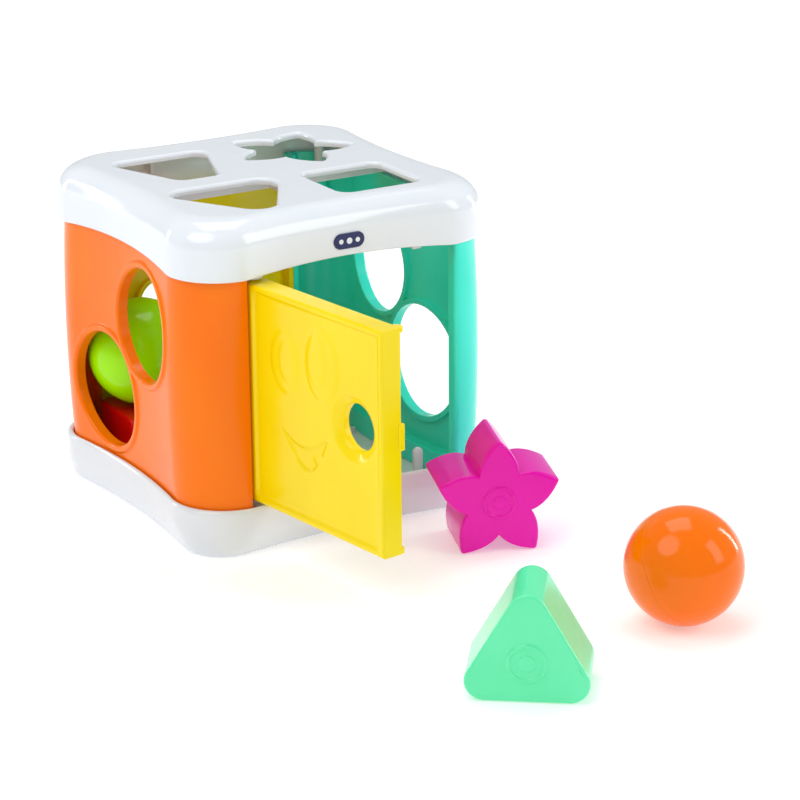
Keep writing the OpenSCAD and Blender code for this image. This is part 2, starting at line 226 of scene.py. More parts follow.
def both_sides(sh, v, tri, front, back):
    """A closed plate from one triangulation: front and back points, and the walls between."""
    a = sh.add(front)
    b = sh.add(back)
    for t in tri:
        sh.f.append((a + int(t[0]), a + int(t[1]), a + int(t[2])))
        sh.f.append((b + int(t[2]), b + int(t[1]), b + int(t[0])))
    for p, q in rim_edges(tri):
        sh.f.append((a + q, a + p, b + p, b + q))


def grid_points(x0, x1, y0, y1, step, keep=None):
    nx, ny = max(2, int((x1 - x0) / step)), max(2, int((y1 - y0) / step))
    gx, gy = np.meshgrid(np.linspace(x0, x1, nx + 1), np.linspace(y0, y1, ny + 1))
    p = np.stack([gx.ravel(), gy.ravel()], 1)
    return p if keep is None else p[keep(p)]


def ring_pts(cx, cy, r, n):
    return [(cx + r * math.cos(2 * PI * i / n), cy + r * math.sin(2 * PI * i / n)) for i in range(n)]


# ---------------------------------------------------------------- outlines
def outline(a, s, r, nc=22, ns=26):
    c = a - r
    k = math.atan(2 * s / c)
    ex, ey = c - r * math.sin(k), c + r * math.cos(k)
    g = math.tan(k) * ex / 2
    out = []
    for q in range(4):
        cq, sq = (1, 0, -1, 0)[q], (0, 1, 0, -1)[q]
        for i in range(ns + nc + 1):
            if i < ns:
                y = -ex + 2 * ex * i / ns
                x = ey - g * (1 - (y / ex) ** 2)
            else:
                t = -k + (PI / 2 + 2 * k) * (i - ns) / (nc + 1)
                x, y = c + r * math.cos(t), c + r * math.sin(t)
            out.append((x * cq - y * sq, x * sq + y * cq))
    return out


def wplan(d, nc=22, ns=26):
    return outline(73 - d, 3.8, 23.9 - d, nc, ns)


def at_z(pts, z):
    return [(p[0], p[1], z) for p in pts]


def star_pts(ro, ri, r=1.5, n=14):
    d, w = ri * math.cos(rad(36)), ri * math.sin(rad(36))
    g = math.atan(2 * w / (ro - d))
    tc = ro - r / math.sin(g)
    te = 1 - (r / math.sin(g) - r * math.sin(g)) / (ro - d)
    out = []
    for k in range(5):
        a = rad(-90 + 72 * k)
        arm = [(d + (ro - d) * te * i / n, -w * (1 - (te * i / n) ** 2)) for i in range(n + 1)]
        f0 = -(PI / 2 - g)
        arm += [(tc + r * math.cos(f0 * (1 - j / 4)), r * math.sin(f0 * (1 - j / 4))) for j in range(1, 8)]
        arm += [(d + (ro - d) * te * i / n, w * (1 - (te * i / n) ** 2)) for i in range(n, 0, -1)]
        out += [(x * math.cos(a) - y * math.sin(a), x * math.sin(a) + y * math.cos(a)) for x, y in arm]
    return out


def rounded(cs, r, n=12, side=10):
    out = []
    m = len(cs)
    arcs = []
    for i in range(m):
        p, c, q = cs[i - 1], cs[i], cs[(i + 1) % m]
        a0 = math.atan2(c[1] - p[1], c[0] - p[0]) - PI / 2
        a1 = math.atan2(q[1] - c[1], q[0] - c[0]) - PI / 2
        if a1 < a0:
            a1 += 2 * PI
        arcs.append([(c[0] + r * math.cos(a0 + (a1 - a0) * j / n), c[1] + r * math.sin(a0 + (a1 - a0) * j / n))
                     for j in range(n + 1)])
    for i in range(m):
        out += arcs[i]
        a, b = arcs[i][-1], arcs[(i + 1) % m][0]
        out += [(a[0] + (b[0] - a[0]) * k / side, a[1] + (b[1] - a[1]) * k / side) for k in range(1, side)]
    return out


def tri_pts(w, d=0.0):
    s = 0.681 * w
    R, r = s / math.sqrt(3), (w - s) / 2
    return rounded([(R * math.cos(rad(-90 + 120 * k)), R * math.sin(rad(-90 + 120 * k))) for k in range(3)], r + d, 20)


def sq_pts(w, d=0.0):
    c = w / 2 - 5
    return rounded([(-c, -c), (c, -c), (c, c), (-c, c)], 5 + d)


def trap_pts(d=0.0):
    return rounded([(-5.2, -16), (5.2, -16), (16.6, 16), (-16.6, 16)], 5 + d)


def tstar(d):
    return star_pts(27.8 + 1.35 * d, 15 + d, 1.5 + max(-1.0, d) * 0.5)


def moved(pts, at):
    return [(p[0] + at[0], p[1] + at[1]) for p in pts]


# ---------------------------------------------------------------- materials
def plastic(name, colour, rough=0.24, coat=0.25, sss=0.06, deep=None, edge=1.12, bump=0.05, sss_scale=0.004,
            spec=0.3):
    """Glossy moulded plastic: mottled tint, uneven gloss, orange-peel and fine bump, worn edges."""
    m = bpy.data.materials.new(name)
    m.use_nodes = True
    nt = m.node_tree
    nt.nodes.clear()
    N, L = nt.nodes.new, nt.links.new
    out = N("ShaderNodeOutputMaterial")
    b = N("ShaderNodeBsdfPrincipled")
    L(b.outputs[0], out.inputs[0])
    co = N("ShaderNodeTexCoord")
    cloud = N("ShaderNodeTexNoise")
    cloud.inputs["Scale"].default_value = 26.0
    cloud.inputs["Detail"].default_value = 4.0
    L(co.outputs["Object"], cloud.inputs["Vector"])
    fine = N("ShaderNodeTexNoise")
    fine.inputs["Scale"].default_value = 950.0
    fine.inputs["Detail"].default_value = 3.0
    L(co.outputs["Object"], fine.inputs["Vector"])
    peel = N("ShaderNodeTexNoise")
    peel.inputs["Scale"].default_value = 210.0
    peel.inputs["Detail"].default_value = 1.0
    L(co.outputs["Object"], peel.inputs["Vector"])
    deep = deep or tuple(c * 0.9 for c in colour[:3])
    tint = N("ShaderNodeValToRGB")
    tint.color_ramp.elements[0].position = 0.36
    tint.color_ramp.elements[0].color = (*deep, 1)
    tint.color_ramp.elements[1].position = 0.66
    tint.color_ramp.elements[1].color = (*colour[:3], 1)
    L(cloud.outputs["Fac"], tint.inputs["Fac"])
    # edge wear: convex edges a touch lighter and duller
    geo = N("ShaderNodeNewGeometry")
    soft = N("ShaderNodeBevel")
    soft.samples = 4
    soft.inputs["Radius"].default_value = 0.0007
    dot = N("ShaderNodeVectorMath")
    dot.operation = "DOT_PRODUCT"
    L(soft.outputs[0], dot.inputs[0])
    L(geo.outputs["Normal"], dot.inputs[1])
    wear = N("ShaderNodeMapRange")
    wear.inputs["From Min"].default_value = 0.97
    wear.inputs["From Max"].default_value = 0.8
    L(dot.outputs["Value"], wear.inputs["Value"])
    broken = N("ShaderNodeMath")
    broken.operation = "MULTIPLY"
    L(wear.outputs[0], broken.inputs[0])
    L(cloud.outputs["Fac"], broken.inputs[1])
    mix = N("ShaderNodeMix")
    mix.data_type = "RGBA"
    L(broken.outputs[0], mix.inputs["Factor"])
    L(tint.outputs[0], mix.inputs["A"])
    mix.inputs["B"].default_value = (*[min(1.0, c * edge + 0.02) for c in colour[:3]], 1)
    L(mix.outputs["Result"], b.inputs["Base Color"])
    ro = N("ShaderNodeMapRange")
    ro.inputs["From Min"].default_value = 0.3
    ro.inputs["From Max"].default_value = 0.7
    ro.inputs["To Min"].default_value = rough * 0.8
    ro.inputs["To Max"].default_value = rough * 1.3
    L(peel.outputs["Fac"], ro.inputs["Value"])
    add = N("ShaderNodeMath")
    add.operation = "MULTIPLY_ADD"
    L(broken.outputs[0], add.inputs[0])
    add.inputs[1].default_value = 0.08
    L(ro.outputs[0], add.inputs[2])
    L(add.outputs[0], b.inputs["Roughness"])
    bp = N("ShaderNodeBump")
    bp.inputs["Strength"].default_value = bump
    bp.inputs["Distance"].default_value = 0.0004
    L(peel.outputs["Fac"], bp.inputs["Height"])
    bf = N("ShaderNodeBump")
    bf.inputs["Strength"].default_value = bump * 0.6
    bf.inputs["Distance"].default_value = 0.0001
    L(fine.outputs["Fac"], bf.inputs["Height"])
    L(bp.outputs[0], bf.inputs["Normal"])
    L(bf.outputs[0], b.inputs["Normal"])
    b.inputs["IOR"].default_value = 1.49
    b.inputs["Subsurface Weight"].default_value = sss
    b.inputs["Subsurface Radius"].default_value = (1.0, 0.7, 0.5)
    b.inputs["Subsurface Scale"].default_value = sss_scale
    b.inputs["Coat Weight"].default_value = coat
    b.inputs["Coat Roughness"].default_value = 0.08
    b.inputs["Specular IOR Level"].default_value = spec
    return m


def srgb(r, g, b):
    f = lambda c: c / 12.92 if c <= 0.04045 else ((c + 0.055) / 1.055) ** 2.4
    return tuple(f(x / 255.0) for x in (r, g, b))


WHITE = plastic("white_lid_plastic", srgb(233, 239, 245), 0.12, 0.3, 0.03, deep=srgb(230, 237, 244), spec=0.5)
# same white plastic as the lid, painted a shade darker: painted shade standing in for the shade that falls on the base
TRAY_WHITE_PAINTED_SHADE = plastic("white_tray_plastic_painted_shade", srgb(227, 231, 236), 0.15, 0.3, 0.03, deep=srgb(224, 229, 234), spec=0.5)
ORANGE = plastic("orange_plastic", srgb(255, 124, 0), 0.17, 0.0, 0.0, deep=srgb(254, 117, 0), spec=0.22)
TEAL = plastic("teal_plastic", srgb(62, 242, 218), 0.17, 0.0, 0.0, deep=srgb(54, 237, 212), spec=0.35)
YELLOW = plastic("yellow_plastic", srgb(252, 226, 4), 0.17, 0.0, 0.0, deep=srgb(250, 221, 0), spec=0.32)
NAVY = plastic("navy_label_film", srgb(20, 32, 92), 0.25, 0.3, 0.0)
MAGENTA = plastic("magenta_plastic", srgb(238, 0, 184), 0.15, 0.0, 0.0, deep=srgb(233, 0, 177), spec=0.32)
MINT = plastic("mint_plastic", srgb(106, 246, 182), 0.16, 0.1, 0.0, deep=srgb(98, 241, 176), spec=0.5)
RED = plastic("red_plastic", srgb(214, 8, 8), 0.14, 0.2, 0.0)
BLUE = plastic("blue_plastic", srgb(40, 110, 220), 0.2, 0.3, 0.0)
OBALL = plastic("orange_ball_plastic", srgb(255, 120, 0), 0.12, 0.0, 0.0, deep=srgb(255, 115, 0), spec=0.28)
GBALL = plastic("lime_ball_plastic", srgb(166, 250, 0), 0.12, 0.0, 0.0, deep=srgb(160, 246, 0), spec=0.28)

STEEL = bpy.data.materials.new("zinc_plated_steel")
STEEL.use_nodes = True
nt = STEEL.node_tree
bs = nt.nodes["Principled BSDF"]
bs.inputs["Metallic"].default_value = 1.0
no = nt.nodes.new("ShaderNodeTexNoise")
no.inputs["Scale"].default_value = 700.0
tc = nt.nodes.new("ShaderNodeTexCoord")
nt.links.new(tc.outputs["Object"], no.inputs["Vector"])
mr = nt.nodes.new("ShaderNodeMapRange")
mr.inputs["To Min"].default_value = 0.24
mr.inputs["To Max"].default_value = 0.46
nt.links.new(no.outputs["Fac"], mr.inputs["Value"])
nt.links.new(mr.outputs[0], bs.inputs["Roughness"])
rp = nt.nodes.new("ShaderNodeValToRGB")
rp.color_ramp.elements[0].color = (0.42, 0.43, 0.45, 1)
rp.color_ramp.elements[1].color = (0.7, 0.71, 0.73, 1)
nt.links.new(no.outputs["Fac"], rp.inputs["Fac"])
nt.links.new(rp.outputs[0], bs.inputs["Base Color"])
bb = nt.nodes.new("ShaderNodeBump")
bb.inputs["Strength"].default_value = 0.1
bb.inputs["Distance"].default_value = 0.0001
nt.links.new(no.outputs["Fac"], bb.inputs["Height"])
nt.links.new(bb.outputs[0], bs.inputs["Normal"])


# ---------------------------------------------------------------- lid
def make_lid():
    sh = Shell()
    zt, zi = 147.0, 144.1

    def arch(p):
        return 122 + 2.3 * max(0.0, 1 - (min(abs(p[0]), abs(p[1])) / 50) ** 2)

    def arched(pts, dz):
        return [(p[0], p[1], arch(p) + dz) for p in pts]

    q = 73.4
    rings = [at_z(outline(60.0, 3.3, 18.9), zi), at_z(outline(64.0, 3.4, 20.3), zi - 0.5),
             at_z(outline(66.5, 3.5, 20.9), zi - 1.4), at_z(outline(69.0, 3.6, 21.4), zi - 3.0),
             at_z(outline(70.8, 3.8, 21.9), zi - 4.8), at_z(outline(72.4, 3.8, 23.2), zi - 7.6),
             at_z(outline(q, 3.8, 24.2), 133.0), at_z(outline(q, 3.8, 24.2), 128.0)]
    for a, dz in ((q, 1.0), (73.5, 0.45), (73.75, 0.12), (74.1, 0.0), (74.45, 0.08), (74.75, 0.35),
                  (74.93, 0.75), (75.0, 1.3)):
        rings.append(arched(outline(a, 3.8, 23.9 - (75 - a) * 0.5 + 0.0), dz))
    rings += [at_z(outline(75.0, 3.8, 23.9), z) for z in (127.5, 131.0)]
    R = 12.0
    for i in range(0, 15):
        t = rad(90 * i / 14)
        rings.append(at_z(outline(75 - R * (1 - math.cos(t)), 3.8 * (1 - math.degrees(t) / 400),
                                  23.9 - 0.35 * R * (1 - math.cos(t))), zt - R * (1 - math.sin(t))))
    sh.loft(rings)
    gap, lip = 0.8, 1.7
    cuts = [(lambda d: tstar(d), (27.6, 27.1)), (lambda d: tri_pts(48, d), (-31.6, -30.8)),
            (lambda d: sq_pts(38, d), (27.4, -35.3)), (lambda d: trap_pts(d), (-31.4, 23.6))]
    holes_top, holes_bot, loops = [], [], []
    for fn, at in cuts:
        prof = [(gap + 0.15, zi), (gap, zi + 0.15)]
        for i in range(0, 8):
            t = rad(90 * i / 7)
            prof.append((gap + lip * (1 - math.cos(t)), zt - lip * (1 - math.sin(t))))
        sh.loft([at_z(moved(fn(d), at), z) for d, z in prof])
        holes_top.append(moved(fn(gap + lip), at))
        holes_bot.append(moved(fn(gap + 0.15), at))
        loops.append(moved(fn(gap + lip + 0.6), at))
    top = [(p[0], p[1]) for p in rings[-1]]
    near = [moved(fn(gap + lip + 1.6), at) for fn, at in cuts]

    def keep(p):
        k = inside(p[:, 0], p[:, 1], [(x * 0.985, y * 0.985) for x, y in top])
        for h in near:
            k &= ~inside(p[:, 0], p[:, 1], h)
        return k

    v, t = patch(top, holes_top, loops, grid_points(-63, 63, -63, 63, 4.2, keep))
    sh.tris(np.column_stack([v, np.full(len(v), zt)]), t)
    bot = [(p[0], p[1]) for p in rings[0]]
    v, t = patch(bot, holes_bot)
    sh.tris(np.column_stack([v, np.full(len(v), zi)]), t, flip=True)
    # ribs, pegs, hinge lug and stop under the top
    sh.slab((-1, -64, zi - 5), (1, 64, zi + 0.3))
    sh.slab((-62, -5.2, zi - 5), (-0.4, -3.4, zi + 0.3))
    sh.slab((0.4, -7.6, zi - 5), (62, -5.8, zi + 0.3))
    for x in (-1, 1):
        for y in (-1, 1):
            sh.rod((x * 62.4, y * 62.4), 126.4, 141.9, 2.5)
            sh.rod((x * 62.4, y * 62.4), 118.2, 127.0, 1.7)
    sh.rod(H, 120.4, 140.4, 4.6, 0.5)
    sh.slab((H[0] - 1.2, H[1] - 7.4, 125), (H[0] + 1.2, H[1], 136))
    sh.slab((H[0] - 1.2, H[1] + 3, 130), (H[0] + 1.2, H[1] + 9, zi + 0.3))
    sh.slab((38.7, -60.4, 118.2), (43.3, -58.5, zi + 0.3), 0.6)
    for s in (-1, 1):
        for y in (-24, 24):
            sh.slab((64 if s > 0 else -69.6, y - 0.9, 133.8), (69.6 if s > 0 else -64, y + 0.9, 140.8))
    for x in (-24, 24):
        sh.slab((x - 0.9, 64, 133.8), (x + 0.9, 69.6, 140.8))
    return sh.build("lid_shell", "cube", "lid", WHITE)


# ---------------------------------------------------------------- base tray
def make_base():
    sh = Shell()
    zs = [(0, 70.6), (0.35, 71.25), (0.9, 71.85), (1.6, 72.3), (3, 72.95), (5, 73.6), (7, 74.2), (9, 74.75),
          (11, 75.2), (13, 75.5), (15, 75.61), (17, 75.645), (19.0, 75.645), (19.9, 75.6), (20.6, 75.4),
          (21.15, 75.05), (21.5, 74.65), (21.6, 74.35), (21.5, 73.95), (21.2, 73.6), (20.7, 73.38),
          (16, 73.35), (11.4, 73.35)]
    rings = []
    for z, a in zs:
        k = min(1.0, z / 13.0)
        rings.append(at_z(outline(a, 3.5 + 0.3 * k, 17 + 7.7 * k), z))
    for z, a, s, r in ((8, 71.9, 3.74, 22.0), (5, 70.5, 3.67, 19.9), (3.8, 69.85, 3.65, 19.2),
                       (3.3, 69.3, 3.6, 18.8), (3.0, 68.4, 3.6, 18.2)):
        rings.append(at_z(outline(a, s, r), z))
    sh.loft(rings)
    n = 40
    posts = [(x * 62.4, y * 62.4) for x in (-1, 1) for y in (-1, 1)]
    under, over = [], []
    for c in posts:
        prof = [(3.8, 0), (3.5, 0.12), (3.4, 0.4), (3.4, 5.0), (1.7, 5.0), (1.7, 8.1), (1.9, 8.2), (4.7, 8.2), (5.05, 8.05),
                (5.2, 7.7), (5.2, 3.5), (5.35, 3.15), (5.7, 3.0)]
        sh.loft([[(x, y, z) for x, y in ring_pts(c[0], c[1], r, n)] for r, z in prof])
        under.append(ring_pts(c[0], c[1], 3.8, n))
        over.append(ring_pts(c[0], c[1], 5.7, n))
    v, t = patch([p[:2] for p in rings[0]], under, extra=grid_points(-50, 50, -50, 50, 12))
    sh.tris(np.column_stack([v, np.zeros(len(v))]), t, flip=True)
    v, t = patch([p[:2] for p in rings[-1]], over, extra=grid_points(-50, 50, -50, 50, 12))
    sh.tris(np.column_stack([v, np.full(len(v), 3.0)]), t)
    # hinge lug and web, stop tab, locating ribs
    sh.rod(H, 2.9, 22.8, 4.6, 0.5)
    sh.slab((H[0] - 1.2, H[1] - 5.0, 2.9), (H[0] + 1.2, H[1], 18.6))
    tab = []
    for i in range(0, 33):
        a = PI * i / 32
        tab.append((41 + 2.3 * math.cos(a), 24.5 + 2.3 * math.sin(a)))
    tab = [(43.3, 2.9)] + tab + [(38.7, 2.9)]
    rings = []
    for y, k in ((-60.4, 0.35), (-60.3, 0.12), (-60.05, 0.0), (-58.85, 0.0), (-58.6, 0.12), (-58.5, 0.35)):
        rings.append([(41 + (x - 41) * (1 - k / 2.3), y, z - (k if z > 4 else 0)) for x, z in tab])
    sh.loft(rings)
    for ring in (rings[0], rings[-1]):
        sh.fan(ring)
    sh.slab((40.1, -58.9, 2.9), (41.9, -53.6, 12), 0.4)
    for s in (-1, 1):
        for y in (-30, 0, 30):
            sh.slab((s * 59.7 - 0.8, y - 1, 2.9), (s * 59.7 + 0.8, y + 1, 6), 0.35)
    # the tray takes the lid's white painted a shade darker, as painted shade
    return sh.build("base_tray", "cube", "base", TRAY_WHITE_PAINTED_SHADE)


# ---------------------------------------------------------------- side walls
def wall_path():
    """Outer and inner lines of the wall's cross-section, paired, from the back return to the front one."""
    nc, ns = 60, 60
    o, i = wplan(0, nc, ns), wplan(2.4, nc, ns)
    m = nc + ns + 1
    seg = list(range(m + ns, 2 * m)) + list(range(2 * m, 3 * m)) + [3 * m]   # corner, left side, corner
    rho, xb, xf = 1.2, -52.4, -48.7
    O = [o[k % len(o)] for k in seg]
    I = [i[k % len(i)] for k in seg]
    pairs = [(a, b) for a, b in zip(O, I) if (a[0] <= xb - rho if a[1] > 0 else a[0] <= xf - rho)]
    O = [p[0] for p in pairs]
    I = [p[1] for p in pairs]

    def inner_y(x, sign):
        xs = np.array([p[0] for p in i])
        ys = np.array([p[1] for p in i])
        k = [j for j in range(len(i)) if (ys[j] * sign > 60 and xs[j] < -40)]
        k.sort(key=lambda j: xs[j])
        return float(np.interp(x, xs[k], ys[k]))

    yb, yf = O[0][1], O[-1][1]
    ib, jf = (xb - 2.4, inner_y(xb - 2.4, 1)), (xf - 2.4, inner_y(xf - 2.4, -1))
    I = [(min(p[0], ib[0]), min(p[1], 999) if p[1] < 0 or p[0] <= ib[0] else ib[1]) for p in I]
    I = [(p if p[0] <= jf[0] or p[1] > 0 else jf) for p in I]
    I = [(ib if (p[1] > 0 and p[0] >= ib[0] - 1e-6) else p) for p in I]
    I = [(jf if (p[1] < 0 and p[0] >= jf[0] - 1e-6) else p) for p in I]
    back_o, back_i = [], []
    for y in np.linspace(67.4, yb - rho, 6):
        back_o.append((xb, float(y)))
        back_i.append((xb - 2.4, float(min(y, ib[1]))))
    for a in np.linspace(0, 90, 7)[1:-1]:
        back_o.append((xb - rho + rho * math.cos(rad(a)), yb - rho + rho * math.sin(rad(a))))
        back_i.append(ib)
    front_o, front_i = [], []
    for a in np.linspace(90, 0, 7)[1:-1]:
        front_o.append((xf - rho + rho * math.cos(rad(a)), yf + rho - rho * math.sin(rad(a))))
        front_i.append(jf)
    for y in np.linspace(yf + rho, -64.8, 6):
        front_o.append((xf, float(y)))
        front_i.append((xf - 2.4, float(max(y, jf[1]))))
    O = np.array(back_o + O + front_o)
    I = np.array(back_i + I + front_i)
    u = np.concatenate([[0], np.cumsum(np.hypot(*(np.diff(O, axis=0).T)))])
    d = np.gradient(O, u, axis=0)
    nrm = np.stack([-d[:, 1], d[:, 0]], 1)     # path runs back to front on the left: outside is its right
    nrm /= np.linalg.norm(nrm, axis=1)[:, None]
    if nrm[len(nrm) // 2][0] > 0:
        nrm = -nrm
    return u, O, I, nrm


PORTS = ((20.0, 52.0, 26.0), (-18.2, 91.1, 25.0))


def make_wall(name, node, mat, half_turn):
    u, O, I, nrm = wall_path()
    side = (np.abs(O[:, 1]) < 45)
    centres = []
    for y, z, pr in PORTS:
        us, ys = u[side], O[side][:, 1]
        k = np.argsort(ys)
        centres.append((float(np.interp(y, ys[k], us[k])), z, pr))
    z0, z1 = 12.0, 132.0

    # grid lines follow the curvature
    cols = [0.0]
    for k in range(1, len(u)):
        bend = abs(nrm[k] @ nrm[k - 1]) < 0.99995
        if u[k] - cols[-1] >= (1.1 if bend else 3.6) or k == len(u) - 1 or (
                bend and u[k] - cols[-1] > 0.25 and (abs(nrm[k][1]) < 0.999 and O[k][0] > -55)):
            cols.append(float(u[k]))
    cols = np.array(cols)
    rows = np.linspace(z0, z1, 33)
    outer = [(c, z0) for c in cols[:-1]] + [(cols[-1], r) for r in rows[:-1]]
    outer += [(c, z1) for c in cols[:0:-1]] + [(cols[0], r) for r in rows[:0:-1]]
    n = 132
    holes = [ring_pts(c[0], c[1], c[2], n) for c in centres]
    offs = [0.07, 0.22, 0.45, 0.75, 1.1, 1.6, 2.1, 2.35, 2.5, 2.7, 3.0, 3.4, 3.8, 4.3, 5.2, 6.8]
    extra = []
    for a, c in enumerate(centres):
        o = centres[1 - a]
        for d in offs:
            for p in ring_pts(c[0], c[1], c[2] + d, n):
                if math.hypot(p[0] - o[0], p[1] - o[1]) - o[2] >= d - 1e-6:
                    extra.append(p)
    gx, gy = np.meshgrid(cols[1:-1], rows[1:-1])
    g = np.stack([gx.ravel(), gy.ravel()], 1)
    far = np.min([np.hypot(g[:, 0] - c[0], g[:, 1] - c[1]) - c[2] for c in centres], 0) > 7.6
    extra += [tuple(p) for p in g[far]]
    extra = [p for p in extra if 0.05 < p[0] < cols[-1] - 0.05 and z0 + 0.05 < p[1] < z1 - 0.05]
    v, t = patch(outer, holes, (), extra)

    pu, pz = v[:, 0], v[:, 1]
    ox, oy = np.interp(pu, u, O[:, 0]), np.interp(pu, u, O[:, 1])
    ix, iy = np.interp(pu, u, I[:, 0]), np.interp(pu, u, I[:, 1])
    nx, ny = np.interp(pu, u, nrm[:, 0]), np.interp(pu, u, nrm[:, 1])
    belly = 1.5 * np.clip(1 - ((pz - 72) / 50) ** 2, 0, 1) * smooth(-nx / 0.75)
    ds = [np.hypot(pu - c[0], pz - c[1]) - c[2] for c in centres]
    d = np.minimum(*ds)
    bead = 1.0 * smooth((3.7 - d) / 1.3)
    lip = np.where(d < 1.3, -(1.3 - np.sqrt(np.clip(1.3 ** 2 - (1.3 - np.clip(d, 0, 1.3)) ** 2, 0, None))), 0)
    ho = belly + bead + np.clip(lip, -0.9, 0)
    hi = belly - 2.1 * smooth((2.72 - d) / 0.42) + np.where(d < 0.5, 0.3 * (1 - d / 0.5), 0)
    front = np.stack([ox + nx * ho, oy + ny * ho, pz], 1)
    back = np.stack([ix + nx * hi, iy + ny * hi, pz], 1)
    sh = Shell()
    both_sides(sh, v, t, front, back)
    # posts, ledge and lip
    for y in (-1, 1):
        sh.rod((-62.4, y * 62.4), 8.3, 30.3, 3.3)
        sh.rod((-62.4, y * 62.4), 96, 126, 3.3)
    lines = {}
    for dd in (2.0, 6.0, 8.0):
        q = wplan(dd, 22, 26)
        m = 22 + 26 + 1
        arc = [p for p in q[2 * m:2 * m + 27] if abs(p[1]) < 44.2]
        lines[dd] = arc
    k = min(len(x) for x in lines.values())
    lines = {dd: x[(len(x) - k) // 2:(len(x) - k) // 2 + k] for dd, x in lines.items()}
    sec = [(2.0, 11.0), (6.0, 11.0), (6.0, 3.3), (8.0, 3.3), (8.0, 13.0), (2.0, 13.0)]
    rings = [[(lines[dd][j][0], lines[dd][j][1], z) for dd, z in sec] for j in range(k)]
    sh.loft(rings)
    for ring in (rings[0], rings[-1]):
        a = sh.add(ring)
        sh.f.append((a, a + 1, a + 4, a + 5))
        sh.f.append((a + 1, a + 2, a + 3, a + 4))
    if half_turn:
        sh.turned(PI, (0, 0))
    return sh.build(name, "cube", node, mat, sharp=42)


# ---------------------------------------------------------------- back panel
def make_back():
    sh = Shell()
    q = [p for p in wplan(1.2, 22, 60) if p[1] > 60 and abs(p[0]) <= 60]
    i = [p for p in wplan(3.6, 22, 60) if p[1] > 58 and abs(p[0]) <= 60]
    q.sort()
    i.sort()
    qx, qy = np.array([p[0] for p in q]), np.array([p[1] for p in q])
    jx, jy = np.array([p[0] for p in i]), np.array([p[1] for p in i])
    xa, xb, z0, z1 = -52.3, 48.6, 12.0, 126.4
    cols, rows = np.linspace(xa, xb, 36), np.linspace(z0, z1, 25)
    outer = [(c, z0) for c in cols[:-1]] + [(xb, r) for r in rows[:-1]]
    outer += [(c, z1) for c in cols[:0:-1]] + [(xa, r) for r in rows[:0:-1]]
    c = (-21.5, 72.5)
    n = 96
    hole = ring_pts(c[0], c[1], 10.7, n)
    extra = [p for d in (0.08, 0.25, 0.5, 0.85, 1.2, 1.6, 2.0, 2.2, 2.35, 2.8, 3.6, 5.0)
             for p in ring_pts(c[0], c[1], 10.7 + d, n)]
    gx, gy = np.meshgrid(cols[1:-1], rows[1:-1])
    g = np.stack([gx.ravel(), gy.ravel()], 1)
    extra += [tuple(p) for p in g[np.hypot(g[:, 0] - c[0], g[:, 1] - c[1]) > 17]]
    v, t = patch(outer, [hole], (), extra)
    d = np.hypot(v[:, 0] - c[0], v[:, 1] - c[1]) - 10.7
    yo, yi = np.interp(v[:, 0], qx, qy), np.interp(v[:, 0], jx, jy)
    lip = np.where(d < 1.2, -(1.2 - np.sqrt(np.clip(1.44 - (1.2 - np.clip(d, 0, 1.2)) ** 2, 0, None))), 0)
    yo = yo + np.clip(lip, -0.9, 0)
    yi = yi - np.maximum(0, 0 + (yi - 64.6)) * smooth((2.3 - d) / 0.35)
    both_sides(sh, v, t, np.stack([v[:, 0], yo, v[:, 1]], 1), np.stack([v[:, 0], yi, v[:, 1]], 1))
    sh.slab((-52.3, 67.4, 12), (-49.9, 70.6, 126.4), 0.3)
    sh.slab((46.2, 64.8, 12), (48.6, 70.6, 126.4), 0.3)
    sh.slab((-40, 64.0, 3.35), (40, 65.8, 14), 0.3)
    sh.slab((-40, 64.6, 12), (40, 68.6, 14), 0.3)
    return sh.build("back_panel_shell", "cube", "back_panel", YELLOW, sharp=42)


# ---------------------------------------------------------------- door
def smile_loops():
    n = 26
    up = [(22.2 + 33 * t, 62.8 + 1.7 * t - 7.2 * math.sin(PI * t) * (1 - 0.1 * t)) for t in np.linspace(0, 1, n)]
    lo = [(22.2 + 33 * t, 62.8 + 1.7 * t - 17 * math.sin(PI * t ** 1.25) ** 0.9 if 0 < t < 1 else 63)
          for t in np.linspace(1, 0, n)[1:-1]]
    return up + lo


def seg_dist(px, py, loop):
    """Signed distance to a loop, positive inside."""
    loop = np.asarray(loop, float)
    best = np.full(len(px), 1e9)
    for (a, b), (c, d) in zip(loop, np.roll(loop, -1, 0)):
        L2 = max(1e-12, (c - a) ** 2 + (d - b) ** 2)
        t = np.clip(((px - a) * (c - a) + (py - b) * (d - b)) / L2, 0, 1)
        best = np.minimum(best, np.hypot(px - a - t * (c - a), py - b - t * (d - b)))
    return np.where(inside(px, py, loop), best, -best)


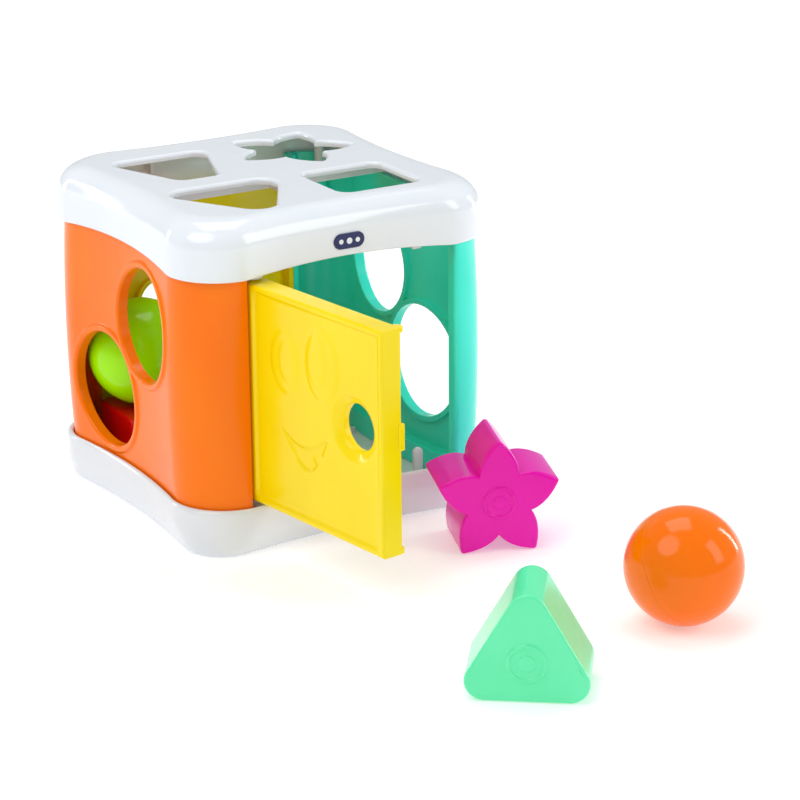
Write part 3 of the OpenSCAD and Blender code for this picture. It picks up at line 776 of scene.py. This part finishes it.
def make_door():
    sh = Shell()
    l0, l1, z0, z1 = 0.0, 92.2, 23.4, 119.7
    fh = (72.4, 73.8)

    def rect(d, step=3.0):
        a, b, c, e = l0, l1 - d, z0 + d, z1 - d
        nl, nz = int((b - a) / step), int((e - c) / step)
        r = [(a + (b - a) * i / nl, c) for i in range(nl)] + [(b, c + (e - c) * i / nz) for i in range(nz)]
        r += [(b - (b - a) * i / nl, e) for i in range(nl)] + [(a, e - (e - c) * i / nz) for i in range(nz)]
        return r

    def open3(d, step=1.5):
        """Points along the three flanged sides at inset d."""
        b, c, e = l1 - d, z0 + d, z1 - d
        nl, nz = int((b - l0) / step), int((e - c) / step)
        r = [(l0 + (b - l0) * i / nl, c) for i in range(1, nl)] + [(b, c + (e - c) * i / nz) for i in range(nz + 1)]
        r += [(b - (b - l0) * i / nl, e) for i in range(1, nl)]
        return r

    outer = rect(0, 1.5)
    n = 96
    hole = ring_pts(fh[0], fh[1], 10.0, n)
    extra = []
    for d in (0.06, 0.2, 0.42, 0.72, 1.1, 1.5, 1.9, 2.3, 2.42, 2.54, 2.9, 3.4, 4.2, 5.4):
        extra += open3(d)
    for d in (0.06, 0.2, 0.42, 0.7, 1.0, 1.4, 1.9, 2.38, 2.5, 3.0, 3.5, 4.0, 4.4, 4.8, 5.3, 6.0):
        extra += ring_pts(fh[0], fh[1], 10 + d, n)
    ey = ((27.6, 91.2, 10.4, 14.6), (52.4, 95.0, 11.6, 16.8))
    pup = ((29.4, 92.0, 6.0, 10.0), (49.6, 96.2, 6.6, 12.0))
    g = []
    step = 0.75
    gg = grid_points(12, 64, 44, 114.5, step)
    g += [tuple(p) for p in gg]
    gg = grid_points(3, 86, 30, 114, 3.1)
    m = ~((gg[:, 0] > 11) & (gg[:, 0] < 65) & (gg[:, 1] > 43))
    m &= np.hypot(gg[:, 0] - fh[0], gg[:, 1] - fh[1]) > 17.2
    g += [tuple(p) for p in gg[m]]
    g = [p for p in g if math.hypot(p[0] - fh[0], p[1] - fh[1]) > 16.6]
    step_l = [(l, z) for l in (5.2, 5.8, 6.4, 7.0, 7.8) for z in np.linspace(z0 + 6, z1 - 6, 56)]
    v, t = patch(outer, [hole], (), extra + g + step_l)
    L, Z = v[:, 0], v[:, 1]
    e = np.minimum(np.minimum(Z - z0, z1 - Z), l1 - L)           # inset from the flanged sides
    es = np.minimum(Z - z0, z1 - Z)
    # rim stands 1 mm over the panel, softly
    rim = np.maximum(smooth((3.6 - es) / 1.5), smooth((4.6 - (l1 - L)) / 3.2))
    rim = np.maximum(rim, smooth((7.6 - L) / 1.6))
    y = -4.0 - 1.0 * rim
    # eyes: two raised ovals, each with a second soft swell
    for (cx, cz, rx, rz), (qx, qz, sx, sz) in zip(ey, pup):
        k = np.sqrt(((L - cx) / rx) ** 2 + ((Z - cz) / rz) ** 2)
        y -= 0.4 * smooth((1.0 - k) * rx / 2.4) + 0.35 * np.clip(1 - k * k, 0, 1)
        k = np.sqrt(((L - qx) / sx) ** 2 + ((Z - qz) / sz) ** 2)
        y -= 0.25 * smooth((1.0 - k) * sx / 1.6)
    y = np.maximum(y, -5.0)
    s = seg_dist(L, Z, smile_loops())
    y += 0.85 * smooth((s + 0.15) / 0.9)
    k = np.sqrt(((L - 48.4) / 4.8) ** 2 + ((Z - 53.4) / 3.8) ** 2)
    y -= 0.55 * smooth((1.0 - k) / 0.75) * smooth((s + 0.25) / 1.1)
    # dish of the finger hole
    dh = np.hypot(L - fh[0], Z - fh[1]) - 10
    y += 2.6 * np.clip((4.6 - dh) / 4.6, 0, 1) ** 1.35
    y += np.where(dh < 1.0, 1.0 - np.sqrt(np.clip(1 - (1 - np.clip(dh, 0, 1)) ** 2, 0, None)), 0) * 0.7
    # outer arris rounded
    R = 1.1
    y += np.where(e < R, R - np.sqrt(np.clip(R * R - (R - np.clip(e, 0, R)) ** 2, 0, None)), 0) * 0.85
    back = np.where(e < 2.48, 5.0, -1.8)
    back = np.where(e < 0.5, 5.0 - 0.5 * (1 - np.clip(e / 0.5, 0, 1)) ** 2, back)
    back = np.where((e >= 1.9) & (e < 2.48), 4.75, back)
    back = np.where((dh < 2.44) & (dh > -0.01), 1.6, back)
    back = np.where((L < 6.0) & (e >= 2.48), 0.0, back)
    both_sides(sh, v, t, np.stack([L, y, Z], 1), np.stack([L, back, Z], 1))
    # flange tips that stand out past the free edge, barrel, pins, tab, ribs
    for zz in (z0, z1 - 2.4):
        tip = [(l1 - 5.2, -3.6), (l1 - 0.6, -3.6), (l1 - 0.15, -3.2), (l1 - 0.03, -2.4), (l1 - 0.03, 5.0)]
        tip += [(l1 - 2.23 + 2.2 * math.cos(rad(a)), 5.0 + 2.15 * math.sin(rad(a))) for a in np.linspace(10, 90, 9)]
        tip += [(l1 - 3.6, 7.05), (l1 - 4.6, 6.6), (l1 - 5.15, 5.8), (l1 - 5.2, 5.0)]
        cx = sum(p[0] for p in tip) / len(tip)
        cy = sum(p[1] for p in tip) / len(tip)
        rings = []
        for zo, k in ((0.03, 0.35), (0.14, 0.12), (0.36, 0.0), (2.04, 0.0), (2.27, 0.12), (2.38, 0.35)):
            rings.append([(cx + (x - cx) * (1 - k / 3.5), cy + (q - cy) * (1 - k / 5.5), zz + zo) for x, q in tip])
        sh.loft(rings)
        sh.fan(rings[0], flip=True)
        sh.fan(rings[-1])
    sh.rod((0, 0), z0 + 0.01, z1 - 0.01, 5.0, 0.8, 64)
    sh.slab((0.5, -4.95, z0 + 0.3), (6.2, 4.9, z1 - 0.3), 0.7)
    sh.rod((0, 0), z0 - 9, z0 + 0.5, 2.45, 0.4, 40)
    sh.rod((0, 0), z1 - 0.5, z1 + 9, 2.45, 0.4, 40)
    sh.slab((90.2, 3.2, 68), (92.9, 6.2, 79.4), 0.45)
    sh.slab((30, -2.2, z0 + 1), (31.6, 2, z1 - 1), 0.35)
    sh.slab((5, -2.2, 56), (63.5, 2, 57.6), 0.35)
    sh.slab((85, -2.2, 56), (90, 2, 57.6), 0.35)
    sh.turned(-OPEN, H)
    return sh.build("door_leaf", "door", "door", YELLOW, sharp=44)


# ---------------------------------------------------------------- badge: plain pill with three round dots
def make_badge():
    sh = Shell()

    def pill(d, y):
        pts = []
        for s, c in ((1, 4.0), (-1, -4.0)):
            for t in np.linspace(-90, 90, 25):
                pts.append((c + s * (3.4 - d) * math.cos(rad(t)), y, 130.9 + s * (3.4 - d) * math.sin(rad(t))))
        return [(0.6 + p[0], p[1], p[2]) for p in pts]

    y0 = -71.42
    rings = [pill(0, y0 + 0.02), pill(0, y0 - 0.22), pill(0.08, y0 - 0.34), pill(0.25, y0 - 0.42), pill(0.5, y0 - 0.45)]
    for d, y in ((0.6, -0.40), (0.75, -0.40), (0.85, -0.42), (2.4, -0.42)):
        rings.append(pill(d, y0 + y))
    sh.loft(rings)
    sh.fan(rings[0])
    sh.fan(rings[-1])
    o = sh.build("badge_film", "cube", "badge", NAVY, sharp=50)
    dots = Shell()
    for x, r in ((-3.4, 1.05), (0.6, 1.35), (4.6, 1.05)):
        dots.rod((x, 130.9), y0 - 0.35, y0 - 0.5, r, 0.04, 36, axis="y")
    o2 = dots.build("badge_dots", "cube", None, WHITE, sharp=50)
    return o, o2


# ---------------------------------------------------------------- blocks
def block(prefix, outline_fn, T, rb, rg, button, cap_gap, place_fn, body, nodes, mat, top, back_lip=0.5, off=(0, 0)):
    """Shell with filleted edges, ring and button on its face; a cap let in at the far side.
    Drawn with the cap side at z = 0 and the face at z = top."""
    sh = Shell()
    f = 1.3
    prof = [(-2.2, 2.0), (-2.2, 0.45), (-2.05, 0.12), (-1.8, 0.0), (-back_lip, 0.0)]
    prof += [(-back_lip * (1 - math.sin(rad(a))), back_lip * (1 - math.cos(rad(a)))) for a in (30, 60, 90)]
    prof += [(0.0, top * 0.33), (0.0, top * 0.66)]
    prof += [(-f * (1 - math.cos(rad(a))), top - f * (1 - math.sin(rad(a)))) for a in np.linspace(0, 90, 9)]
    rings = [at_z(outline_fn(d), z) for d, z in prof]
    sh.loft(rings)
    n = 72
    loops, extra = [], []
    rr = [rb + 0.8, rb + 0.3, rb, rb - 0.12, rb - 0.35, rb - 0.7, rg + 0.5, rg + 0.25, rg + 0.08, rg - 0.1, rg - 0.5,
          button + 0.6, button + 0.2, button + 0.05, button - 0.1, button - 0.35, button * 0.6, button * 0.3]
    for r in rr:
        extra += ring_pts(off[0], off[1], r, n)
    fl = outline_fn(-f)
    v, t = patch([p[:2] for p in fl], [], [outline_fn(-f - 0.5)], extra + [off])
    r = np.hypot(v[:, 0] - off[0], v[:, 1] - off[1])
    h = 0.68 * smooth((rb - r) / 0.55) - 0.5 * smooth((rg - r) / 0.5) + 0.5 * smooth((button - r) / 0.55)
    h = np.where(r < button, h + 0.0, h)
    sh.tris(np.column_stack([v, top + h]), t)
    # inner cavity stays closed behind the cap
    v, t = patch([p[:2] for p in rings[0]], [])
    sh.tris(np.column_stack([v, np.full(len(v), 2.0)]), t, flip=True)
    sh.mapped(place_fn)
    a = sh.build(prefix + "_shell", body, nodes[0], mat)
    cap = Shell()
    prof = [(-cap_gap - 0.45, 0.06), (-cap_gap - 0.12, 0.14), (-cap_gap, 0.42), (-cap_gap, 2.4), (-cap_gap - 0.2, 2.5)]
    rings = [at_z(outline_fn(d), z) for d, z in prof]
    cap.loft(rings)
    inner = outline_fn(-cap_gap - 2.2)
    extra = ring_pts(off[0], off[1], 4.2, n) + ring_pts(off[0], off[1], 3.6, n) + ring_pts(off[0], off[1], 3.2, n)
    v, t = patch([p[:2] for p in rings[0]], [], [inner], extra)
    r = np.hypot(v[:, 0] - off[0], v[:, 1] - off[1])
    cap.tris(np.column_stack([v, 0.06 + 0.45 * smooth((4.0 - r) / 0.7)]), t, flip=True)
    v, t = patch([p[:2] for p in rings[-1]], [])
    cap.tris(np.column_stack([v, np.full(len(v), 2.5)]), t)
    cap.mapped(place_fn)
    b = cap.build(prefix + "_cap_plate", body, nodes[1], mat)
    return a, b


def upright(at, heading, z):
    ch, shh = math.cos(rad(heading)), math.sin(rad(heading))

    def fn(p):
        x, y, w = -p[0], -p[1], p[2] - 30.8
        # rot X by 90: (x, y, w) -> (x, -w, y)
        X, Y, Z = x, -w, y
        return (at[0] + X * ch - Y * shh, at[1] + X * shh + Y * ch, z + Z)
    return fn


def make_blocks():
    tri_lift = 0.681 * 48 / math.sqrt(3) / 2 + (48 - 0.681 * 48) / 2
    block("star", tstar, 30.8, 7.4, 6.2, 3.2, 2.3, upright((40.4, -127), -20.6, 27.3 * math.cos(rad(36)) + 0.32),
          "star", ("star_block", "star_cap"), MAGENTA, 30.8)
    block("triangle", lambda d: tri_pts(48, d), 30.8, 8.0, 6.8, 3.4, 2.3, upright((-33.6, -259.6), -37.6, tri_lift),
          "triangle", ("triangle_block", "triangle_cap"), MINT, 30.8, off=(0, 1.0))
    block("square", lambda d: sq_pts(38, d), 30.1, 7.4, 6.2, 3.2, 2.3,
          lambda p: (p[0] - 39.5, p[1] + 40.5, p[2] + 3.3), "square", ("square_block", "square_cap"), RED, 30.1)
    block("trapezoid", trap_pts, 30.1, 7.4, 6.2, 3.2, 2.3,
          lambda p: (p[0] - 13.5, p[1] - 37.5, p[2] + 3.3), "trapezoid", ("trapezoid_block", "trapezoid_cap"), BLUE,
          30.1)


def make_ball(name, node, body, at, mat, tilt):
    """Sphere with a faint moulding seam and a small gate mark."""
    sh = Shell()
    n, m = 128, 96
    R = 24.28
    lat = sorted(set([rad(a) for a in np.linspace(-90, 90, m + 1)[1:-1]] + [rad(a) for a in (-0.9, -0.55, -0.25, 0.25, 0.55, 0.9)]))
    rot = Matrix.Rotation(rad(tilt[0]), 3, "X") @ Matrix.Rotation(rad(tilt[1]), 3, "Y")

    def pt(la, lo):
        d = abs(math.degrees(la))
        r = R - 0.12 * max(0.0, 1 - (d / 0.8) ** 2)
        pole = math.degrees(la)
        if pole > 85.5:
            r -= 0.14 * (1 - ((90 - pole) / 4.5) ** 2)
        p = rot @ Vector((r * math.cos(la) * math.cos(lo), r * math.cos(la) * math.sin(lo), r * math.sin(la)))
        return (p.x + at[0], p.y + at[1], p.z + at[2])
    rings = [[pt(la, 2 * PI * i / n) for i in range(n)] for la in lat]
    sh.loft(rings)
    sh.fan(rings[0], pt(-PI / 2, 0), flip=True)
    sh.fan(rings[-1], pt(PI / 2, 0))
    return sh.build(name, body, node, mat, sharp=60)


make_lid()
make_base()
make_wall("wall_left", "left_wall", ORANGE, False)
make_wall("wall_right", "right_wall", TEAL, True)
make_back()
make_door()
make_badge()
make_blocks()
make_ball("ball_orange", "orange_ball", "orange_ball", (61.8, -229, 24.3), OBALL, (62, 18))
make_ball("ball_green", "green_ball", "green_ball", (-43.4, 42.3, 58.8), GBALL, (25, 40))
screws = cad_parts["base_screws"]
for s in screws.material_slots:
    s.material = STEEL
if not screws.material_slots:
    screws.data.materials.append(STEEL)

# ---------------------------------------------------------------- floor, light, camera
fl = bpy.data.materials.new("studio_floor")
fl.use_nodes = True
fb = fl.node_tree.nodes["Principled BSDF"]
fb.inputs["Roughness"].default_value = 0.9
fb.inputs["Base Color"].default_value = (0.82, 0.82, 0.825, 1)
fb.inputs["Emission Color"].default_value = (1, 1, 1, 1)
# the floor glows a little, and more towards its far edges, like a lit sweep
fc = fl.node_tree.nodes.new("ShaderNodeTexCoord")
fd = fl.node_tree.nodes.new("ShaderNodeVectorMath")
fd.operation = "LENGTH"
fl.node_tree.links.new(fc.outputs["Object"], fd.inputs[0])
fm = fl.node_tree.nodes.new("ShaderNodeMapRange")
fm.inputs["From Min"].default_value = 0.35
fm.inputs["From Max"].default_value = 2.0
fm.inputs["To Min"].default_value = 0.33
fm.inputs["To Max"].default_value = 0.8
fl.node_tree.links.new(fd.outputs["Value"], fm.inputs["Value"])
fl.node_tree.links.new(fm.outputs[0], fb.inputs["Emission Strength"])
fn = fl.node_tree.nodes.new("ShaderNodeTexNoise")
fn.inputs["Scale"].default_value = 300.0
fbp = fl.node_tree.nodes.new("ShaderNodeBump")
fbp.inputs["Strength"].default_value = 0.02
fbp.inputs["Distance"].default_value = 0.0002
fl.node_tree.links.new(fn.outputs["Fac"], fbp.inputs["Height"])
fl.node_tree.links.new(fbp.outputs[0], fb.inputs["Normal"])
bpy.ops.mesh.primitive_plane_add(size=14, location=(0, 0, -0.0002))
floor = bpy.context.object
floor.name = "floor"
floor.data.materials.append(fl)

w = bpy.data.worlds.new("studio")
bpy.context.scene.world = w
w.use_nodes = True
w.node_tree.nodes["Background"].inputs[0].default_value = (1.0, 1.0, 1.0, 1)
w.node_tree.nodes["Background"].inputs[1].default_value = 0.44


def area(name, at, aim, size, power, colour=(1, 1, 1), size_y=None, shape="RECTANGLE"):
    li = bpy.data.lights.new(name, "AREA")
    li.energy = power
    li.shape = shape
    li.size = size
    li.size_y = size_y or size
    li.color = colour
    o = bpy.data.objects.new(name, li)
    bpy.context.scene.collection.objects.link(o)
    o.location = at
    o.rotation_euler = (Vector(aim) - Vector(at)).to_track_quat("-Z", "Y").to_euler()
    return o


area("key_softbox", (-0.86, -0.24, 1.21), (0, -0.03, 0.06), 1.05, 7.4, shape="DISK")
area("front_softbox", (0.72, -1.02, 0.66), (0, -0.1, 0.06), 0.4, 3.2, size_y=0.8)
area("top_softbox", (0.15, 0.3, 1.5), (0, 0, 0.1), 0.9, 7.0)
area("side_strip", (1.2, -0.1, 0.3), (0, -0.1, 0.1), 0.12, 3.4, size_y=0.7)
area("back_strip", (-0.75, 1.05, 0.3), (-0.02, 0, 0.07), 0.12, 2.0, size_y=0.6)

cam = bpy.data.cameras.new("camera")
co = bpy.data.objects.new("camera", cam)
bpy.context.scene.collection.objects.link(co)
bpy.context.scene.camera = co
right = Vector((0.85576, -0.51730, -0.00852)).normalized()
fwd = Vector((0.48681, 0.81068, -0.32530)).normalized()
right = (right - fwd * right.dot(fwd)).normalized()
up = right.cross(fwd).normalized()
R3 = Matrix((right, up, -fwd)).transposed()
co.matrix_world = Matrix.Translation((-0.58086, -1.08026, 0.46013)) @ R3.to_4x4()
cam.lens = 129.09
cam.sensor_width = 36.0
cam.clip_start, cam.clip_end = 0.05, 50

sc = bpy.context.scene
sc.view_settings.view_transform = "Standard"
sc.view_settings.look = "None"
sc.view_settings.exposure = 0.0
